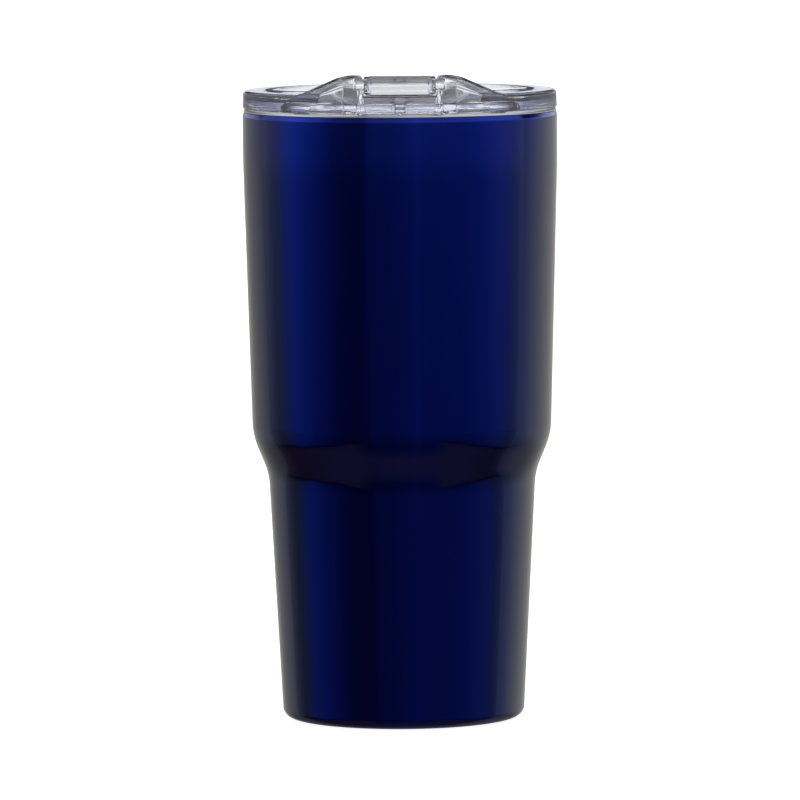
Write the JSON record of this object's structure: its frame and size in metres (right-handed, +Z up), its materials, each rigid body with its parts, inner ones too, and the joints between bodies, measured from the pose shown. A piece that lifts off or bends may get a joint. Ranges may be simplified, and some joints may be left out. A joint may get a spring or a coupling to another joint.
{
  "type": "insulated tumbler with lid",
  "caption": "Double-wall steel travel tumbler with a stepped body, a clear push-on lid and a hinged flip tab over the sip opening.",
  "frame": {"origin": "centre of the base, on the plane it stands on", "axes": "+Z up along the cup's axis; -Y towards the tab's hinge, +Y towards the sip opening; +X to the right when seen from the hinge side"},
  "size_m": [0.088, 0.088, 0.1819],
  "materials": {
    "lacquer": "translucent metallic deep-blue lacquer, glossy",
    "steel": "fine brushed",
    "solder": "dull grey",
    "copper": "bright foil",
    "clear_plastic": "clear, polished",
    "silicone": "translucent, satin"
  },
  "bodies": {
    "cup": {"outer_shell": "lacquer", "inner_liner": "steel", "shell_base": "steel", "vacuum_seal": "solder", "base_cover": "steel", "getter": "solder", "getter_clip": "steel", "copper_foil": "copper"},
    "lid": {"lid_body": "clear_plastic", "lid_gasket": "silicone"},
    "tab": {"flip_tab": "clear_plastic", "sip_plug": "silicone"}
  },
  "joints": [
    {"name": "lid_lift", "type": "slide", "parent": "cup", "child": "lid", "axis": [0, 0, 1], "range_m": [0, 0.09]},
    {"name": "tab_flip", "type": "hinge", "parent": "lid", "child": "tab", "pos_m": [0, -0.041, 0.17955], "axis": [1, 0, 0], "range_deg": [0, 110]}
  ]
}
